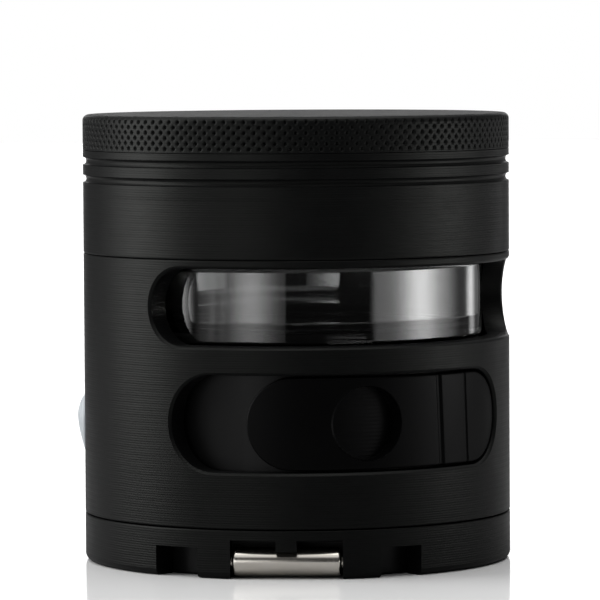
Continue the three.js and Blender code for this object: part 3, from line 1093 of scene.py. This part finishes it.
def basePlate():
    # a dished plate with a pocket behind the roller and a widening sink for each screw's head
    b, q = base, roller
    plate = turned("basePlate", [
        (0, 0, 0), (b["plateRadius"], 0, 0.3), (b["plateRadius"], b["plateRim"], 0.2),
        (b["webInner"], b["plateRim"], 0.2), (b["webInner"], b["plateThick"], 0.5), (0, b["plateThick"], 0)])
    pocket = boxCutter(
        "pocket", (-q["notchHalf"], q["notchHalf"]), q["notchBack"], bodyRadius + past,
        -1, q["notchTop"], q["azimuth"])
    head, top = b["screwHead"] + b["sinkGap"], b["screwHeadTop"] + 0.1
    sink = revolve(np.array([[0, -1], [head + b["sinkWiden"], -1], [head, 0.2], [head, top], [0, top]]), 40)
    sinks = manySurfaces("sinks", sink[None] + screwSpots()[:, None, None])
    return carve(plate, [pocket, sinks])


def baseScrews():
    # round-edged heads with a lobed socket: its radius is r (1 + lobe cos(lobes a))
    b, columns = base, 60
    tip, shank, face = b["screwTip"], b["screwShank"], b["screwSunk"]
    head, top = b["screwHead"], b["screwHeadTop"]
    a = np.arange(columns) * turn / columns
    body = revolve(rounded([
        (0, tip, 0), (shank, tip, 0.2), (shank, top, 0), (head, top, 0.05), (head, face, 0.3),
        (socket["rim"], face, 0)]), columns)
    star = socket["radius"] * (1 + socket["lobe"] * np.cos(socket["lobes"] * a))
    rows = [(star, face), (star, socket["deep"]), (0 * star, socket["deep"])]
    lobes = np.stack([np.stack([r * np.sin(a), -r * np.cos(a), z + 0 * a], axis=-1) for r, z in rows])
    screw = np.concatenate([body, lobes])
    return manySurfaces("baseScrews", screw[None] + screwSpots()[:, None, None])


def steelRoller():
    # turned about its own axis, which lies across the front at the roller's height
    half = roller["length"] / 2
    profile = rounded([
        (roller["bore"], -half, 0.1), (roller["radius"], -half, roller["end"]),
        (roller["radius"], half, roller["end"]), (roller["bore"], half, 0.1)], closed=True)
    a = np.arange(120) * turn / 120
    r, along = profile[:, :1], profile[:, 1:]
    local = np.stack([along + 0 * a, r * np.sin(a), roller["reach"] + r * np.cos(a)], axis=-1)
    return surface("steelRoller", facing(local, roller["azimuth"], roller["height"]), closeRows=True)


fit(baseRing(), "base", "anodised_shell", shellBlack, "base_ring")
fit(basePlate(), "base", "anodised_inner", innerBlack, "base_plate")
fit(baseScrews(), "base", "screw_steel", blackScrew, "base_screw_1", "base_screw_2", "base_screw_3")
fit(steelRoller(), "roller", "satin_steel", steel, "steel_roller")
print("base made")


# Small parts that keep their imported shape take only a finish

smallParts = {
    "lid_magnet": nickel, "chamber_magnet": nickel, "roller_axle": steel, "base_seal": rubber,
    "keeper_magnet_1": nickel, "keeper_magnet_2": nickel, "keeper_magnet_3": nickel,
    "seat_magnet_1": nickel, "seat_magnet_2": nickel, "seat_magnet_3": nickel,
}
for name, finish in smallParts.items():
    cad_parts[name].data.materials.clear()
    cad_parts[name].data.materials.append(finish)
print("small parts finished")


# Stage: a pale table, a bright room with soft lights round it, and the camera

studio = {
    "tableHalf": 260.0,      # mm, half the table's width
    "wideHalf": 2600.0,
    "wideDrop": 0.02,
    "floor": (0.93, 0.93, 0.93, 1),
    "floorDull": (0.36, 0.36, 0.36, 1),  # what the table throws back at the object
    "floorGloss": 0.42,
    "floorRoughness": 0.09,
    # each light spans the azimuths from near to far, fading over the soft width, round its peak
    "lights": [
        {"near": 6, "far": 47, "soft": (1.5, 4), "side": -1, "peak": 29, "width": 13,
         "strength": 2.6, "base": 0.15, "top": (6, 18)},
        {"near": 44, "far": 60, "soft": (3, 8), "side": -1, "peak": 54, "width": 3,
         "strength": 0.5, "base": 0.45, "top": (10, 30)},
        {"near": 66, "far": 104, "soft": (10, 20), "side": -1, "peak": 88, "width": 22,
         "strength": 6.0, "base": 0.6, "top": (30, 60)},
        {"near": 46, "far": 104, "soft": (6, 20), "side": 1, "peak": 84, "width": 14,
         "strength": 5.8, "base": 1.15, "top": (1, 8)},
        {"near": 132, "far": 146, "soft": (5, 5), "side": 1, "peak": 140, "width": 5,
         "strength": 1.4, "base": 0.0, "top": (-2, 3)},
    ],
    # pairs are degrees over which a part of the room begins or ends
    "back": 1.7,
    "backFrom": (162, 171),
    "backTop": (10, 22),
    "side": 0.1,
    "sideFrom": (90, 120),
    "front": 0.03,
    "ceiling": 0.8,
    "ceilingFrom": (28, 46),
    "overhead": 2.4,
    "overheadFrom": (56, 74),
    "backdrop": 1.0,         # what the camera sees behind everything
}

camera = {"distance": 698.0, "height": 78.0, "aim": 38.1, "sideways": 0.5, "lens": 283.0, "roll": -0.33}


def floorSheet(name, half, height):
    # one square, looking up
    side, z = half * mm, height * mm
    corners = [(-side, -side, z), (side, -side, z), (side, side, z), (-side, side, z)]
    mesh = bpy.data.meshes.new(name)
    mesh.from_pydata(corners, [], [(0, 1, 2, 3)])
    sheet = bpy.data.objects.new(name, mesh)
    bpy.context.scene.collection.objects.link(sheet)
    return sheet


def makeFloor():
    # a table that the object mirrors, and round it a wider sheet that only the camera sees
    table = floorSheet("table", studio["tableHalf"], 0)
    wide = floorSheet("wideFloor", studio["wideHalf"], -studio["wideDrop"])
    wide.visible_glossy = wide.visible_diffuse = wide.visible_transmission = wide.visible_shadow = False
    material, shade = newMaterial("paleFloor")
    paper = shade.node("ShaderNodeBsdfDiffuse", inputs={"Color": studio["floor"]})
    gloss = shade.node("ShaderNodeBsdfGlossy", inputs={
        "Color": (1, 1, 1, 1), "Roughness": studio["floorRoughness"]})
    bright = shade.mixed(studio["floorGloss"], paper, gloss)
    dull = shade.node("ShaderNodeBsdfDiffuse", inputs={"Color": studio["floorDull"]})
    seen = shade.node("ShaderNodeLightPath", output="Is Camera Ray")
    above = shade.mixed(seen, dull, bright)
    # clear from below, so that the underside can be looked at
    clear = shade.node("ShaderNodeBsdfTransparent")
    under = shade.node("ShaderNodeNewGeometry", output="Backfacing")
    shade.show(shade.mixed(under * seen, above, clear))
    table.data.materials.append(material)
    wide.data.materials.append(material)


def boxLight(azimuth, elevation, light):
    # strength * bell + base between the light's near and far edges and below its top, and 0 elsewhere
    out = azimuth * light["side"]
    near, far = light["near"], light["far"]
    first, last = light["soft"]
    inside = out.rise(near, near + first) * (1 - out.rise(far, far + last))
    inside = inside * (1 - elevation.rise(*light["top"]))
    return inside * (out.bell(light["peak"], light["width"]) * light["strength"] + light["base"])


def makeRoom():
    world = bpy.data.worlds.new("studio")
    bpy.context.scene.world = world
    shade = Shading(world)
    x, y, z = shade.axes(shade.node("ShaderNodeTexCoord", output="Generated"))
    degrees, q = 360 / turn, studio
    azimuth = x.maths("ARCTAN2", y * -1) * degrees
    elevation = z.maths("ARCSINE") * degrees
    boxes = sum(boxLight(azimuth, elevation, light) for light in q["lights"])
    behind = azimuth.size().rise(*q["backFrom"]) * (1 - elevation.rise(*q["backTop"])) * q["back"]
    beside = azimuth.size().rise(*q["sideFrom"]) * q["side"]
    above = elevation.rise(*q["ceilingFrom"]) * q["ceiling"]
    highest = elevation.rise(*q["overheadFrom"]) * q["overhead"]
    room = boxes + behind + beside + above + highest + q["front"]
    seen = shade.node("ShaderNodeLightPath", output="Is Camera Ray")
    strength = room * (1 - seen) + seen * q["backdrop"]
    light = shade.node("ShaderNodeBackground", inputs={"Color": (1, 1, 1, 1), "Strength": strength})
    shade.show(light, "ShaderNodeOutputWorld")


def makeCamera():
    data = bpy.data.cameras.new("camera")
    data.lens = camera["lens"]
    data.sensor_width = 36.0
    data.clip_start = 0.01
    holder = bpy.data.objects.new("camera", data)
    bpy.context.scene.collection.objects.link(holder)
    eye = Vector((camera["sideways"], -camera["distance"], camera["height"])) * mm
    aim = Vector((camera["sideways"], 0, camera["aim"])) * mm
    holder.location = eye
    level = (aim - eye).to_track_quat("-Z", "Y")
    holder.rotation_euler = (level @ Quaternion((0, 0, 1), math.radians(camera["roll"]))).to_euler()
    bpy.context.scene.camera = holder


makeFloor()
makeRoom()
makeCamera()
bpy.context.scene.view_settings.view_transform = "Standard"
print("stage made")
